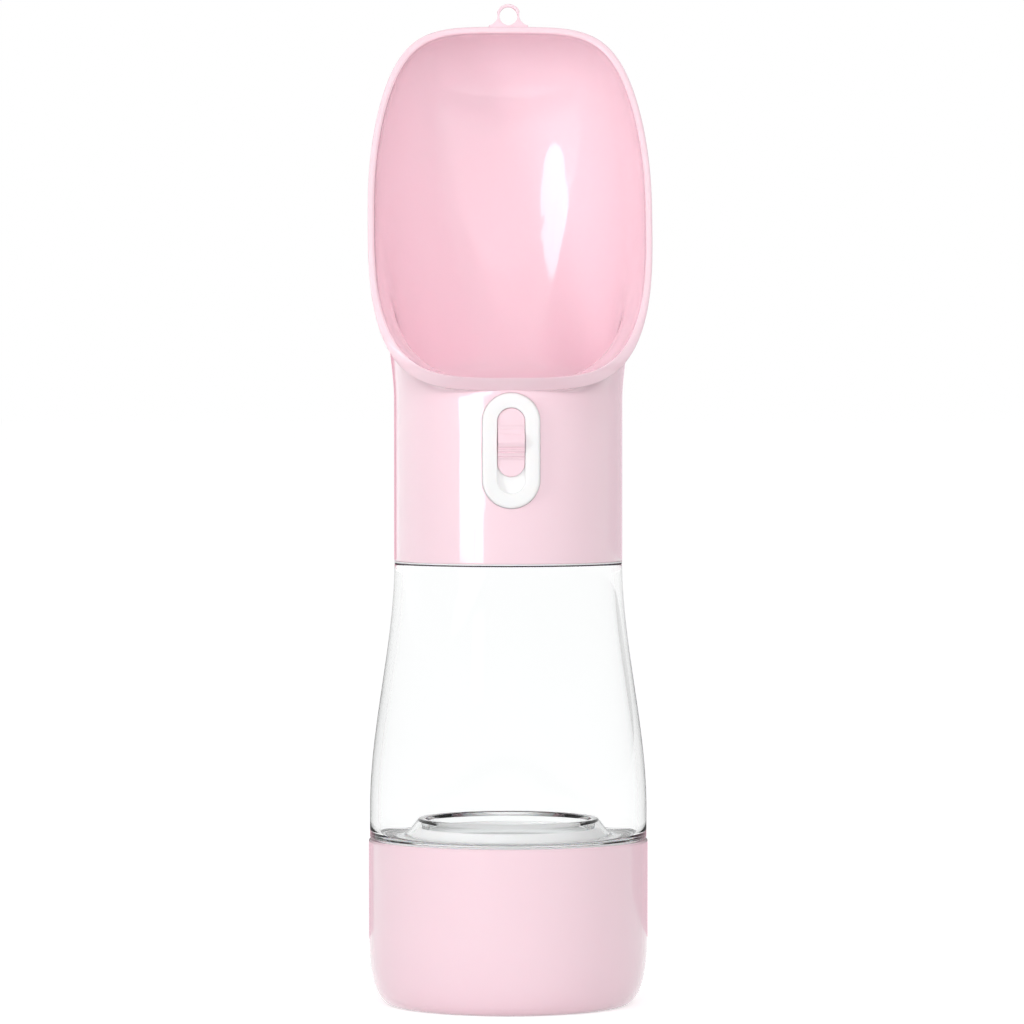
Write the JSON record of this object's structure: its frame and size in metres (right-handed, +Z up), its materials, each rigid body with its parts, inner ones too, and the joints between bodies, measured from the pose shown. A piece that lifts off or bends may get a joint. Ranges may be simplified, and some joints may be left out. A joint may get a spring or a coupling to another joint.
{
  "type": "dog travel water bottle",
  "caption": "Slim travel bottle for dogs: flip-side drinking trough with press valve and lock, clear water bottle and a screw-on food cup below.",
  "frame": {"origin": "centre of the food cup's base, on the surface that it stands on", "axes": "+Z up along the bottle; the trough, the button and its lock face -Y"},
  "size_m": [0.0702, 0.0698, 0.2498],
  "materials": {
    "pink_shell": "glossy",
    "white_plastic": "satin",
    "clear_bottle": "clear",
    "silicone": "matte",
    "steel": "satin"
  },
  "bodies": {
    "food_cup": {"food_cup": "pink_shell"},
    "cup_seal": {"cup_gasket": "silicone"},
    "bottle": {"bottle": "clear_bottle"},
    "neck_seal": {"neck_gasket": "silicone"},
    "head": {"head_shell": "pink_shell", "valve_body": "white_plastic", "chamber_gasket": "silicone", "chamber_cap": "white_plastic", "cap_screws": "steel", "air_vent": "silicone", "stem_o_ring": "silicone", "seal_washer": "steel", "return_spring": "steel", "riser_sleeve": "silicone"},
    "press_button": {"press_button": "white_plastic", "wedge_carrier": "white_plastic"},
    "lock_slider": {"lock_slider": "pink_shell", "lock_plate": "white_plastic"},
    "valve_stem": {"valve_stem": "steel", "stem_follower": "white_plastic", "valve_plug": "silicone", "plug_retainer": "steel"}
  },
  "joints": [
    {"name": "bottle_rise", "type": "slide", "parent": "food_cup", "child": "cup_seal", "axis": [0, 0, 1], "range_m": [0, 0.006]},
    {"name": "bottle_turn", "type": "hinge", "parent": "cup_seal", "child": "bottle", "pos_m": [0, 0, 0.0417], "axis": [0, 0, 1], "range_deg": [0, 720]},
    {"name": "head_rise", "type": "slide", "parent": "bottle", "child": "neck_seal", "axis": [0, 0, 1], "range_m": [0, 0.006]},
    {"name": "head_turn", "type": "hinge", "parent": "neck_seal", "child": "head", "pos_m": [0, 0, 0.1105], "axis": [0, 0, 1], "range_deg": [0, 720]},
    {"name": "button_press", "type": "slide", "parent": "head", "child": "press_button", "axis": [0, 1, 0], "range_m": [0, 0.0025], "stiffness_N_per_m": 400, "springref_m": -0.002},
    {"name": "lock_slide", "type": "slide", "parent": "press_button", "child": "lock_slider", "axis": [0, 0, -1], "range_m": [0, 0.00404]},
    {"name": "valve_open", "type": "slide", "parent": "head", "child": "valve_stem", "axis": [0, 0, -1], "range_m": [0, 0.0025], "deforming": ["return_spring"]}
  ],
  "couplings": [
    {"joint": "bottle_turn", "follows": "bottle_rise", "rad_per_m": 2094.4},
    {"joint": "head_turn", "follows": "head_rise", "rad_per_m": 2094.4},
    {"joint": "valve_open", "follows": "button_press", "ratio": 1}
  ]
}
